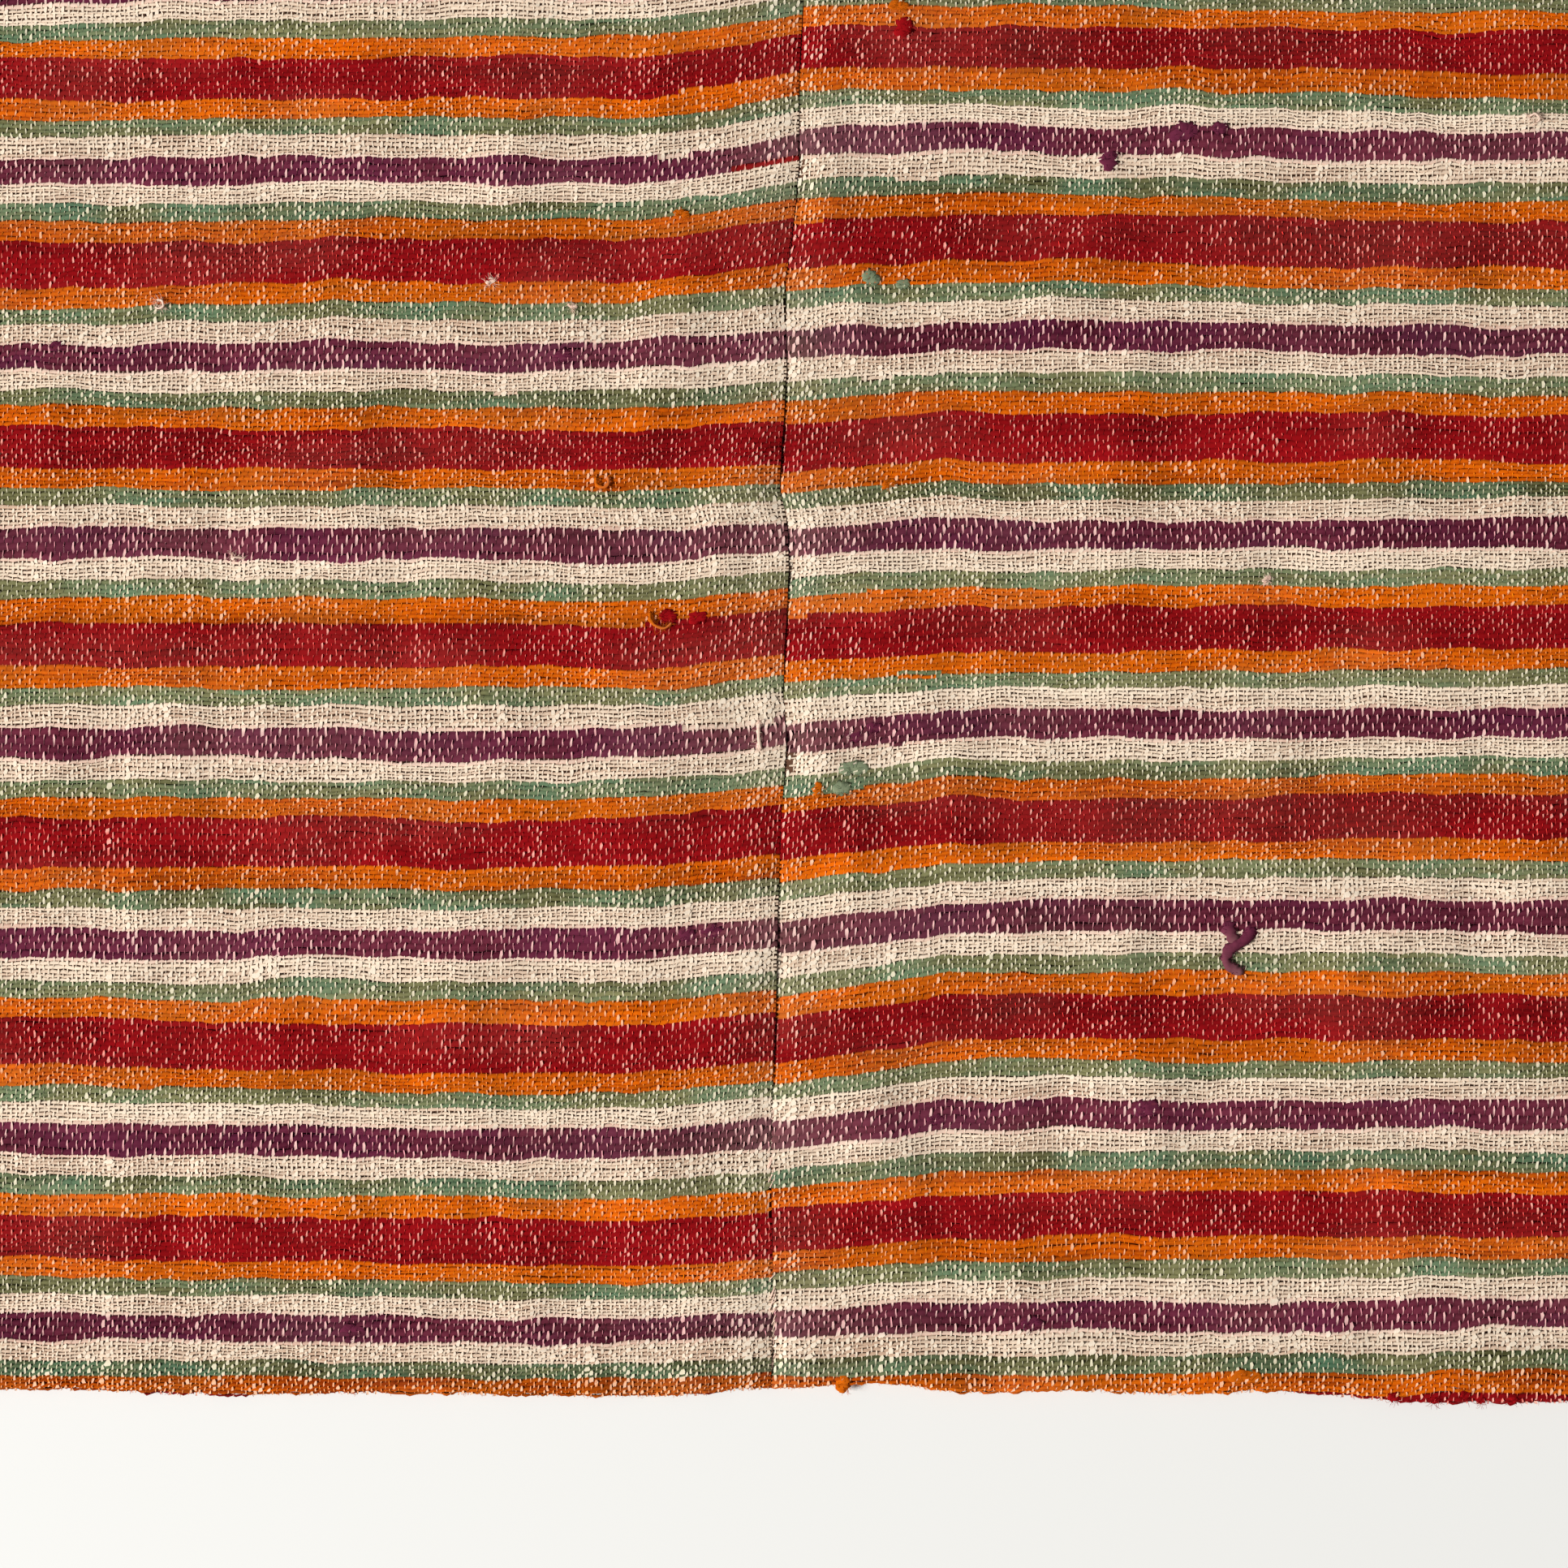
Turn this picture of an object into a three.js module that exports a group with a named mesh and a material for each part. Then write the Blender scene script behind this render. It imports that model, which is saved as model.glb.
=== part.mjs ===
// A cut length of a striped handwoven wool blanket, lying flat on a table or floor.
// Two loom-width panels meet edge to edge at a wandering sewn seam, and the woven end at the bottom
// is turned under in a narrow soft hem. Millimetres, +Z up. The origin is the middle of the underside,
// +X runs across the panels along the stripes and +Y runs along the warp, away from the hem.

import * as THREE from 'three';

// Driving dimensions
const WIDTH = 424; // across both panels, from cut edge to cut edge
const LENGTH = 370; // from the hem's lowest point to the cut top edge
const CLOTH = 1.6; // one layer of cloth
const SEAM_GAP = 0.3; // between the two selvedges
const SELVEDGE_DROP = 0.8; // how far the face rolls down at a selvedge
const SELVEDGE_ROLL = 5; // width of that roll
const CUT_DROP = 0.25; // softened upper corner of a cut edge
const HEM_TURN = 12; // cloth turned under at the woven end
const HEM_EASE = 8; // width over which the face comes down behind the turned layer
const FOLD_ROUND = 2; // how far in from the fold its face is rounded
const FOLD_NOSE = 0.5; // height of the fold's edge as a share of the doubled cloth

// Mesh spacing
const COLUMN_STEP = 8.5;
const ROW_STEP = 10.5;
const SELVEDGE_COLUMNS = [0, 1, 2.5, 5, 9];
const HEM_ROWS = [0, 0.6, FOLD_ROUND, 6, HEM_TURN, HEM_TURN + HEM_EASE / 2, HEM_TURN + HEM_EASE];

const LEFT = -1;
const RIGHT = 1;
const MEAN_STRIPE_COLOUR = 0x9c5a48;

// Turns rows of numbers into records with named columns.
function table(columns, rows) {
  return rows.map((row) => Object.fromEntries(columns.map((column, at) => [column, row[at]])));
}

// Where the seam runs: x for each height y. It leans left towards the hem and wanders on the way.
const SEAM_LINE = table(['y', 'x'], [
  [-185, -3.3],
  [-150, -2.9],
  [-125, -3.3],
  [-94, -2.3],
  [-51, -1.2],
  [-34, -0.6],
  [-20, 0.8],
  [-5, -0.2],
  [16, 0.8],
  [36, 1.2],
  [49, -1.2],
  [61, -0.2],
  [82, 0.8],
  [100, 0.4],
  [111, 1.9],
  [132, 3.9],
  [152, 3.9],
  [173, 5.0],
  [185, 5.3],
]);

// How far the hem's fold stands above its lowest point: rise for each place x across the blanket.
const HEM_LINE = table(['x', 'rise'], [
  [-212, 3.0],
  [-186, 3.7],
  [-154, 2.3],
  [-100, 2.5],
  [-55, 1.9],
  [-24, 2.1],
  [-9, 3.5],
  [7, 4.1],
  [21, 5.1],
  [32, 4.4],
  [40, 3.0],
  [75, 3.2],
  [100, 2.1],
  [125, 3.0],
  [144, 1.7],
  [156, 0.5],
  [168, 0.0],
  [188, 0.0],
  [212, 0.4],
]);

// Soft ridges where the cloth doesn't lie quite flat: centre, half width across, half length along
// the warp, lean to the right for each millimetre upwards, and height.
const RIPPLES = table(['x', 'y', 'across', 'along', 'lean', 'height'], [
  [-186, 56, 13, 40, 0.05, 1.2],
  [-186, -42, 12, 34, -0.1, 1.3],
  [-160, -36, 11, 30, 0.1, 0.9],
  [-152, 112, 16, 34, 0.15, 1.1],
  [-140, -132, 17, 36, 0.1, 1.3],
  [-109, 54, 15, 42, -0.1, 1.5],
  [-106, 156, 14, 28, 0.1, 1.0],
  [-84, -94, 16, 40, 0.15, 1.4],
  [-76, 3, 14, 36, -0.15, 1.3],
  [-70, 136, 15, 34, 0.1, 1.2],
  [-64, -148, 13, 26, -0.1, 1.0],
  [-36, -36, 13, 38, 0.2, 1.6],
  [-34, -138, 14, 30, 0.1, 1.4],
  [-30, 84, 12, 40, 0.25, 1.4],
  [-14, 40, 9, 30, 0.3, 1.7],
  [-14, -84, 9, 32, 0.2, 1.6],
  [14, 108, 9, 34, -0.2, 1.8],
  [16, -44, 9, 30, -0.3, 1.9],
  [24, 18, 10, 30, -0.35, 1.4],
  [26, -124, 13, 38, -0.3, 2.1],
  [30, 160, 12, 24, -0.1, 1.3],
  [44, -36, 12, 34, -0.2, 1.3],
  [58, -152, 13, 24, -0.2, 1.3],
  [72, 104, 14, 36, 0.1, 1.2],
  [87, 62, 12, 32, 0.0, 1.4],
  [90, -108, 16, 40, 0.1, 1.5],
  [88, 10, 13, 26, -0.1, 1.0],
  [108, 154, 16, 30, 0.1, 1.2],
  [124, -30, 15, 36, -0.1, 1.1],
  [150, 58, 16, 38, 0.1, 1.3],
  [150, -80, 15, 38, 0.2, 1.5],
  [158, -138, 15, 28, -0.1, 1.3],
  [164, -38, 11, 26, 0.05, 1.0],
  [168, 10, 14, 24, 0.1, 1.1],
  [186, 150, 14, 32, -0.1, 1.2],
  [191, -38, 12, 34, -0.05, 1.3],
]);

// A smooth line through a table's rows.
function lineThrough(rows, along, value) {
  const places = rows.map((row) => row[along]);
  const values = rows.map((row) => row[value]);
  const curve = new THREE.CubicInterpolant(places, values, 1);
  return (place) => curve.evaluate(place)[0];
}

const seamAt = lineThrough(SEAM_LINE, 'y', 'x');
const hemRiseAt = lineThrough(HEM_LINE, 'x', 'rise');

// A rounded bump: 1 in the middle, falling smoothly to 0 one unit away.
function bump(distance) {
  const inside = Math.max(0, 1 - distance * distance);
  return inside * inside;
}

// How far the ridges lift the cloth off the surface.
function lift(x, y) {
  return RIPPLES.reduce((sum, ripple) => {
    const upwards = y - ripple.y;
    const sideways = x - ripple.x - ripple.lean * upwards;
    return sum + ripple.height * bump(sideways / ripple.across) * bump(upwards / ripple.along);
  }, 0);
}

// Thickness of the cloth: doubled over the hem with a rounded fold, rolled down at the selvedge.
function thickness(fromHem, fromSeam, fromCut) {
  const doubled = 1 - THREE.MathUtils.smoothstep(fromHem, HEM_TURN, HEM_TURN + HEM_EASE);
  const intoFold = 1 - Math.min(fromHem / FOLD_ROUND, 1);
  const fold = FOLD_NOSE + (1 - FOLD_NOSE) * Math.sqrt(1 - intoFold * intoFold);
  const intoRoll = 1 - Math.min(fromSeam / SELVEDGE_ROLL, 1);
  const cut = fromCut > 0 ? 0 : CUT_DROP;
  return (CLOTH + CLOTH * doubled) * fold - SELVEDGE_DROP * intoRoll * intoRoll - cut;
}

// Distances from 0 to the end: a few close ones first, then even steps.
function spacing(first, end, step) {
  const start = first[first.length - 1];
  const count = Math.round((end - start) / step);
  const even = Array.from({ length: count }, (_, at) => start + ((at + 1) * (end - start)) / count);
  return [...first, ...even];
}

// The cloth's face and underside at one place, from shares of the way out from the seam and up from
// the hem.
function layersAt(side, outwards, upwards) {
  const seamX = seamAt((upwards - 0.5) * LENGTH);
  const panelWidth = WIDTH / 2 - side * seamX - SEAM_GAP / 2;
  const x = seamX + side * (SEAM_GAP / 2 + outwards * panelWidth);
  const hemY = Math.max(0, hemRiseAt(x)) - LENGTH / 2;
  const y = hemY + upwards * (LENGTH / 2 - hemY);
  const fromCut = Math.min(1 - outwards, 1 - upwards);
  const under = lift(x, y);
  const face = under + thickness(y - hemY, outwards * panelWidth, fromCut);
  return { face: [x, y, face], under: [x, y, under] };
}

// One panel as a closed sheet: its face, its underside and the rim between them.
function panel(name, side) {
  const columns = spacing(SELVEDGE_COLUMNS, WIDTH / 2, COLUMN_STEP).map((d) => (2 * d) / WIDTH);
  const rows = spacing(HEM_ROWS, LENGTH, ROW_STEP).map((d) => d / LENGTH);
  const leftToRight = side === LEFT ? columns.reverse() : columns;
  const points = rows.flatMap((up) => leftToRight.map((out) => layersAt(side, out, up)));
  const across = leftToRight.length;
  const underneath = points.length;
  const at = (row, column) => row * across + column;
  const indices = [];
  for (let row = 0; row < rows.length - 1; row += 1) {
    for (let column = 0; column < across - 1; column += 1) {
      const [a, b] = [at(row, column), at(row, column + 1)];
      const [d, c] = [at(row + 1, column), at(row + 1, column + 1)];
      indices.push(a, b, c, a, c, d);
      indices.push(...[a, c, b, a, d, c].map((corner) => corner + underneath));
    }
  }
  const lastRow = rows.length - 1;
  const lastColumn = across - 1;
  const rim = [
    ...leftToRight.slice(1).map((_, column) => at(0, column)),
    ...rows.slice(1).map((_, row) => at(row, lastColumn)),
    ...leftToRight.slice(1).map((_, column) => at(lastRow, lastColumn - column)),
    ...rows.slice(1).map((_, row) => at(lastRow - row, 0)),
  ];
  rim.forEach((start, place) => {
    const end = rim[(place + 1) % rim.length];
    indices.push(start, start + underneath, end + underneath, start, end + underneath, end);
  });
  const positions = [...points.flatMap((point) => point.face), ...points.flatMap((point) => point.under)];
  const geometry = new THREE.BufferGeometry();
  geometry.setAttribute('position', new THREE.Float32BufferAttribute(positions, 3));
  geometry.setIndex(indices);
  geometry.computeVertexNormals();
  const wool = new THREE.MeshStandardMaterial({ color: MEAN_STRIPE_COLOUR, roughness: 0.92, metalness: 0 });
  const mesh = new THREE.Mesh(geometry, wool);
  mesh.name = name;
  return mesh;
}

const blanket = new THREE.Group();
blanket.add(panel('panel_left', LEFT), panel('panel_right', RIGHT));

export default blanket;
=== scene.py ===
"""Looks of a striped handwoven blanket length: yarns woven over the two panels of the frame.

Lengths are in millimetres until a mesh is made. x runs along the stripes, y along the warp away from
the hem, and rise is measured out of the cloth's face.
"""
import math
from collections import namedtuple

import bpy
import numpy as np
from mathutils.bvhtree import BVHTree
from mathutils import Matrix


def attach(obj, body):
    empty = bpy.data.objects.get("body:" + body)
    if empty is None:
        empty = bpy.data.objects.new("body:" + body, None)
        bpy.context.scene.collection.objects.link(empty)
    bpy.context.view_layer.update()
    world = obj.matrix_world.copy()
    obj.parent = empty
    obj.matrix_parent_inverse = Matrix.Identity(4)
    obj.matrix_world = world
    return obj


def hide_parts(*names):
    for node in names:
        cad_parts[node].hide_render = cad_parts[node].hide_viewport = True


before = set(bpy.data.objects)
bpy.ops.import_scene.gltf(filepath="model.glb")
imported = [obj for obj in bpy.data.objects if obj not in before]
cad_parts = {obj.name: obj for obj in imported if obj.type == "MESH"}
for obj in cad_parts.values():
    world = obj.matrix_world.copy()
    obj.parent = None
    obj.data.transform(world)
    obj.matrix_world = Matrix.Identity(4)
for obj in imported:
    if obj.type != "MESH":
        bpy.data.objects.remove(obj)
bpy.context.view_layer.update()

MM = 0.001

# Cloth
CLOTH = 1.6  # thickness of one layer
SEAM_GAP = 0.3  # between the two panels
FOLD_RADIUS = CLOTH  # the hem's fold
FOLD_QUARTER = FOLD_RADIUS * math.pi / 2  # way round the fold from its nose to its face
GROUND_RISE = -0.9  # how far the ground lies below the face
GROUND_GAP = 0.03  # from the ground to the middle of the seam
LEAST_THICK = 0.25  # nothing on the face sinks nearer to the underside
HEM_TUCK = (3.0, 9.0)  # where the turned layer comes down to the underside
HEM_LUMP = 0.6  # unevenness of the fold, and how far up the face it reaches
HEM_LUMP_REACH = 2.0
HEM_DARKER = 0.5  # how much darker the cloth is just above the fold
HEM_DARKER_PLACE = 8.0
HEM_DARKER_REACH = 6.0
FACE_STEP = 2.0  # spacing of the heights that are read off the solid

# Puckers of the face: height, and length along the warp and along the stripes
Pucker = namedtuple("Pucker", "size along across")
PUCKER = 0.38
PUCKERS = [
    Pucker(1.0, 24.0, 9.0),
    Pucker(0.6, 10.0, 11.0),
]

# Warp: the pitch closes up towards the selvedge, and the stripes bend towards the seam
Warp = namedtuple("Warp", "pitch spread closing reach bend")
WARPS = {
    "left": Warp(pitch=1.19, spread=0.0, closing=0.10, reach=14.0, bend=1.5),
    "right": Warp(pitch=1.205, spread=0.035, closing=0.06, reach=10.0, bend=1.0),
}
FIRST_END = 0.75  # first end from the seam
END_JITTER = 0.1  # how unevenly the ends are spaced
WARP_TAPER = 0.7  # width of an end below the weft, as a share of its width above
WARP_UNDER = -0.54  # rise of an end below the weft
WARP_STAIN = 0.8  # how far the weft's dye has gone into the ends
WARP_LEAN = 0.18  # slant of a dash
WARP_STOUT = 0.16  # how much the ends differ in width
WARP_SHADE = 0.55  # mean shade of the ends, and how much they differ in it
END_SHADE = 0.2
WARP_EACH = (-2.0, 1.4)  # limits of how far one dash differs from the others
SEAM_BARE = 0.28  # how much paler the dashes are at the seam and at the hem
BARE_REACH = 9.0
SEAM_SWAY = 60.0  # how far from the seam its bends are still felt
END_SWAY = 0.3  # slow sideways wander of the ends, and its length along them and across them
END_SWAY_LENGTH = 45.0
END_SWAY_ACROSS = 16.0
END_WANDER = 0.3  # quick wander of a single end, and its length
END_WANDER_LENGTH = 1.9

# How much the dashes differ: from patch to patch, along an end, one by one, and at the seam and the hem
Dash = namedtuple("Dash", "patch slub each bare")
DASH_WIDTH = Dash(0.2, 0.25, 0.6, 0.4)
DASH_RISE = Dash(0.07, 0.07, 0.1, 0.1)
DASH_SHADE = Dash(0.0, 0.15, 0.12, 0.0)
DASH_STAIN = Dash(0.0, 0.0, -0.3, 0.0)

# Where the weft goes under the warp, turns back and is cut
UNDER_FALL = 0.55  # fall of the weft to its edges under the warp, as a share of the fall over it
SELVEDGE_CROWN = -0.05  # rise of the weft where it turns back
SELVEDGE_WIDTH = 0.8  # its width there, as a share
CUT_REACH = (-0.5, 0.3)  # how far the weft's cut ends reach past the panel's edge

# Painted shade: how much lighter a weft yarn is over the warp than under it, and on its crown than at its
# edge
CROSSING_PAINTED_SHADE = 0.1
EDGE_PAINTED_SHADE = 0.45

# Weft yarns: colours in the shade, on the crowns and in patches, the painted shade of the hollows between the
# yarns, and the one that its dye has given to the warp. Then rise of the crown over and under the warp, fall
# to the edge, share of the pitch that the yarn covers, how far it has faded at the seam, and the warp's width
# on top of it.
Yarn = namedtuple("Yarn", "deep bright drift hollow stain over under fall cover fade warp")
YARNS = {
    "red": Yarn("#5c0407", "#8c0a10", "#a00e16", "#4c0304", "#f03e3a", 0.1, -0.2, 0.46, 1.14, 0.0, 0.22),
    "orange": Yarn("#8c3202", "#e06604", "#a45a10", "#6c2402", "#f68408", 0.1, -0.2, 0.5, 1.06, 0.02, 0.28),
    "green": Yarn("#464426", "#807e56", "#4e8a70", "#2c2a18", "#d4cfaa", 0.08, -0.2, 0.5, 1.06, 0.1, 0.32),
    "cream": Yarn("#c0a086", "#f1dec5", "#e3b0a6", "#5c4030", "#f0dcc4", 0.03, -0.38, 0.32, 0.76, 0.28, 0.47),
    "purple": Yarn("#400e1c", "#6e2c3c", "#5e2040", "#2c0812", "#e0909a", 0.28, -0.08, 0.54, 1.12, 0.1, 0.28),
}
YARN_NAMES = list(YARNS)
WARP_COLOURS = ("#cdb59d", "#faedd8")

# Fine strands in a metre along x, y and z
WEFT_GRAIN = (500, 3500, 3500)
WARP_GRAIN = (3500, 500, 3500)

# Darkest colour of the ground's strands: on its face it is part of the painted shade between the yarns
DARKEST = "#1c0f0b"
WORN = "#b9a890"
FADE_REACH = 14.0  # how far from the seam the weft has faded

# How far the colour drifts in patches, on cream beside purple, and on cream elsewhere
PATCH_DRIFT = 0.42
CREAM_STAIN = 0.3
CREAM_TINT = 0.04

# Unevenness of the weft: its size, and how many picks and what length of yarn it takes to change
Uneven = namedtuple("Uneven", "size picks length")
WEFT_THICKNESS = [Uneven(0.16, 1.0, 9.0), Uneven(0.1, 1.0, 2.0)]
WEFT_CROWN = [Uneven(0.05, 1.0, 6.0)]
WEFT_SHADE = [Uneven(0.2, 5.0, 22.0), Uneven(0.18, 1.0, 7.0), Uneven(0.2, 5.0, math.inf)]
WEFT_WEAR = [Uneven(0.03, 9.0, 30.0)]
COLOUR_PATCHES = [Uneven(0.7, 4.0, 15.0), Uneven(0.3, 1.0, 6.0)]
FOLD_LUMPS = [Uneven(1.0, 3.0, 3.5), Uneven(0.5, 2.0, 1.5)]
# Patches in the darker band just above the hem's fold
HEM_DARKER_PATCHES = [Uneven(0.6, 9.0, 12.0)]
PICK_SHADE = 0.16  # how much the picks differ in shade

# One repeat of the stripes, from the upper edge of a red one down: share of the repeat and picks
Stripe = namedtuple("Stripe", "yarn share picks")
STRIPES = [
    Stripe("red", 0.232, 9),
    Stripe("orange", 0.111, 5),
    Stripe("green", 0.089, 4),
    Stripe("cream", 0.117, 6),
    Stripe("purple", 0.148, 4),
    Stripe("cream", 0.115, 6),
    Stripe("green", 0.093, 4),
    Stripe("orange", 0.109, 5),
]
SHARE_WANDER = 0.07

# How the stripes wander: how far, how often it changes in a repeat, and over what length of the stripe
Wander = namedtuple("Wander", "size often length")
STRIPE_WANDER = [
    Wander(0.7, 2.6, 38.0),
    Wander(0.6, 6.0, 14.0),
    Wander(0.38, 9.0, 6.0),
]
SEAM_HOLD = 0.4  # share of the wander that is left at the seam
SEAM_HOLD_REACH = 25.0
PICK_WANDER = 0.12  # smooth and sudden wander of a single pick
PICK_WANDER_LENGTH = 3.0
PICK_JITTER = 0.08
PICK_SPACING = 0.12  # how unevenly the picks are spaced

# Where a stripe leaves its middle height: within a distance of the seam, and between two distances
SEAM_PULL = 42.0
MIDDLE_TO_OUTER = (60.0, 200.0)

# Height y of the middle of each red stripe, from the top down: at the panel's outer edge, in its
# middle and at the seam. The first and the last lie past the cut edge and past the hem's fold.
RedLine = namedtuple("RedLine", "outer middle seam")
RED_LINES = {
    "left": [
        RedLine(198.5, 199.5, 205.5),
        RedLine(152.7, 153.3, 159.4),
        RedLine(105.7, 107.0, 112.0),
        RedLine(58.3, 58.1, 59.4),
        RedLine(9.8, 8.8, 12.2),
        RedLine(-41.9, -41.6, -38.4),
        RedLine(-92.9, -94.2, -91.6),
        RedLine(-142.6, -144.2, -142.6),
        RedLine(-187.6, -188.7, -187.0),
    ],
    "right": [
        RedLine(206.5, 208.5, 207.5),
        RedLine(159.3, 161.0, 161.2),
        RedLine(111.0, 113.4, 111.2),
        RedLine(61.6, 61.4, 58.8),
        RedLine(13.6, 12.8, 10.6),
        RedLine(-35.7, -36.1, -40.8),
        RedLine(-86.2, -86.6, -93.4),
        RedLine(-136.8, -137.2, -141.2),
        RedLine(-188.0, -189.6, -188.8),
    ],
}

# Picks that change yarn part-way: stripe of the repeat, pick of the stripe, and from x to x
Join = namedtuple("Join", "panel repeat stripe pick start end yarn")
RED, ORANGE, GREEN, CREAM, PURPLE, LOWER_CREAM, LOWER_GREEN, LOWER_ORANGE = range(8)
JOINS = [
    Join("left", 1, RED, -1, -26.1, 9.0, "orange"),
    Join("left", 1, PURPLE, 0, -31.3, -24.0, "cream"),
    Join("left", 1, PURPLE, -1, -12.6, 9.0, "red"),
    Join("left", 2, LOWER_GREEN, 0, -72.7, -67.5, "cream"),
    Join("left", 4, PURPLE, 0, -25.0, -1.2, "cream"),
    Join("left", 4, RED, 0, -220.0, -34.4, "orange"),
    Join("right", 1, LOWER_GREEN, 0, 27.7, 38.1, "cream"),
    Join("right", 2, RED, 0, -9.0, 10.1, "orange"),
    Join("right", 2, LOWER_GREEN, 0, 19.5, 27.7, "cream"),
    Join("right", 3, LOWER_ORANGE, 0, -9.0, 19.9, "green"),
    Join("right", 4, RED, 0, -9.0, 5.4, "orange"),
    Join("right", 4, ORANGE, -1, 28.8, 39.1, "green"),
    Join("right", 4, GREEN, 0, 27.7, 38.1, "orange"),
    Join("right", 4, LOWER_CREAM, 0, 26.7, 29.8, "purple"),
    Join("right", 4, LOWER_ORANGE, 0, -9.0, 19.5, "green"),
]

# How far from the panel's edge the weft turns back, by height y: below nought it reaches past the edge
Groove = namedtuple("Groove", "y short")
GROOVE = [
    Groove(-185, -0.15),
    Groove(-160, -0.12),
    Groove(-115, -0.12),
    Groove(-60, -0.09),
    Groove(60, -0.06),
    Groove(185, -0.06),
]
GROOVE_WANDER = 0.09
GROOVE_JITTER = 0.04

# Thick places and knots in the yarn: middle, length, thickness, and turn from the stripes in degrees
Slub = namedtuple("Slub", "yarn x y long thick turn")
SLUBS = [
    Slub("purple", 83.6, 131.4, 5.5, 4.4, 80),
    Slub("purple", 102.2, 138.6, 8.0, 4.8, 20),
    Slub("purple", 111.3, 139.2, 4.0, 3.2, 0),
    Slub("purple", -56.6, 82.3, 5.0, 3.4, 0),
    Slub("purple", -185.5, 84.0, 4.0, 2.4, 20),
    Slub("purple", 38.8, -113.6, 5.0, 3.0, 0),
    Slub("purple", 92.6, -111.0, 7.5, 4.4, 10),
    Slub("purple", -110.0, -166.3, 6.5, 3.0, 0),
    Slub("purple", 63.4, -165.5, 6.0, 3.4, 5),
    Slub("purple", -24.6, -65.4, 4.5, 4.0, 0),
    Slub("purple", -18.2, -64.6, 6.0, 3.4, 10),
    Slub("purple", 17.9, -14.8, 4.0, 3.2, 0),
    Slub("purple", 23.0, -12.8, 4.0, 3.0, 0),
    Slub("green", 22.0, 102.1, 4.8, 3.8, -20),
    Slub("green", 30.4, 100.4, 3.6, 2.6, 10),
    Slub("green", 17.9, -23.3, 8.0, 3.6, 5),
    Slub("green", 14.8, -28.7, 4.6, 4.0, 10),
    Slub("red", 31.2, 165.1, 5.5, 4.4, 60),
    Slub("red", -29.6, 16.0, 4.6, 3.4, 0),
    Slub("red", -21.8, 15.3, 5.0, 3.4, 25),
    Slub("orange", 29.2, 170.8, 5.5, 2.8, 0),
    Slub("orange", 26.8, 48.7, 4.0, 2.2, 30),
    Slub("orange", -26.1, 118.7, 4.4, 2.2, -15),
    Slub("orange", 9.0, -28.0, 4.0, 2.4, 80),
    Slub("orange", 15.6, -179.6, 4.8, 3.6, 80),
    Slub("orange", 117.6, -178.4, 9.0, 3.6, 0),
    Slub("red", 155.3, -183.0, 3.0, 2.4, 10),
    Slub("red", 165.6, -184.0, 2.2, 1.8, 0),
    Slub("red", 173.7, -183.6, 2.8, 2.2, 0),
    Slub("red", 177.6, -184.1, 2.6, 1.9, -10),
    Slub("red", 185.9, -184.2, 3.2, 2.5, 60),
    Slub("cream", -74.7, 101.6, 2.6, 2.0, 30),
    Slub("cream", -54.0, 95.3, 2.6, 1.4, -20),
    Slub("cream", 123.4, 24.3, 3.0, 1.6, 50),
]

# Loose threads: thickness at the start and at the end, and points x, y and rise along the thread
Thread = namedtuple("Thread", "yarn start end points")
THREADS = [
    Thread("purple", 3.0, 2.4, [
        (119.4, -62.8, -0.3), (118.4, -65.8, 0.2), (115.8, -67.8, 0.4), (113.4, -69.6, 0.4),
        (112.6, -71.6, 0.4), (113.6, -73.4, 0.4), (115.2, -74.4, 0.3), (117.2, -75.2, 0.2)]),
    Thread("purple", 3.4, 3.0, [(113.4, -61.8, -0.4), (113.7, -64.8, 0.1), (115.2, -67.6, 0.3)]),
    Thread("orange", 1.0, 0.5, [
        (-34.2, 16.9, 0.5), (-34.0, 14.6, 0.8), (-32.4, 13.2, 0.9), (-30.3, 12.8, 0.8), (-28.6, 14.2, 0.6)]),
    Thread("orange", 0.8, 0.8, [
        (-48.0, 51.4, 0.3), (-47.8, 49.4, 0.7), (-46.2, 48.6, 0.9), (-44.8, 49.6, 0.8), (-45.0, 51.4, 0.4)]),
    Thread("cream", 0.8, 1.0, [(-6.3, -10.6, 0.2), (-6.5, -14.4, 0.6), (-6.1, -18.6, 0.2)]),
    Thread("cream", 0.5, 0.4, [
        (-160.0, 96.4, 0.3), (-158.6, 96.2, 0.9), (-158.2, 94.8, 1.0), (-159.4, 94.2, 0.8),
        (-160.4, 94.6, 0.4)]),
    Thread("cream", 0.5, 0.4, [
        (-141.0, 32.0, 0.2), (-140.6, 30.2, 0.7), (-140.0, 30.8, 0.8), (-137.6, 30.6, 0.3)]),
    Thread("cream", 0.5, 0.4, [
        (189.8, 143.0, 0.2), (191.4, 143.8, 0.8), (192.6, 142.6, 0.6), (191.6, 141.6, 0.2)]),
]

# Stitches of the seam, which come out on the face towards the hem
STITCH_TOP = -110.0
STITCH_EASE = 40.0  # over what length they come out
STITCH_FROM_HEM = 6.0
STITCH_STEP = 1.4
STITCH_REACH = 0.8  # to each side of the seam
STITCH_THICK = 0.3
STITCH_LEAN = 2.2
STITCH_RISE = (-0.5, 0.65)  # in the groove, and how much more on the face
STITCH_BOW = 0.3
STITCH_STRIPES = ("green", "cream", "purple")  # where they show

# How far a thick place may move to its own pick, how high its middle lies, how flat it is, how far it has
# faded, and how far the colour of all knots and fibres drifts
SLUB_SHIFT = 0.6
SLUB_RISE = -0.15
SLUB_SQUASH = 0.19
SLUB_WEAR = {"green": 0.2}
KNOT_DRIFT = 0.4

# Loose threads: how flat they are and how far their ends have faded
THREAD_SQUASH = 0.42
THREAD_WEAR = 0.14

FELT_ROUGH = (0.86, 1.14)  # roughness of knots and loose threads

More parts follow.
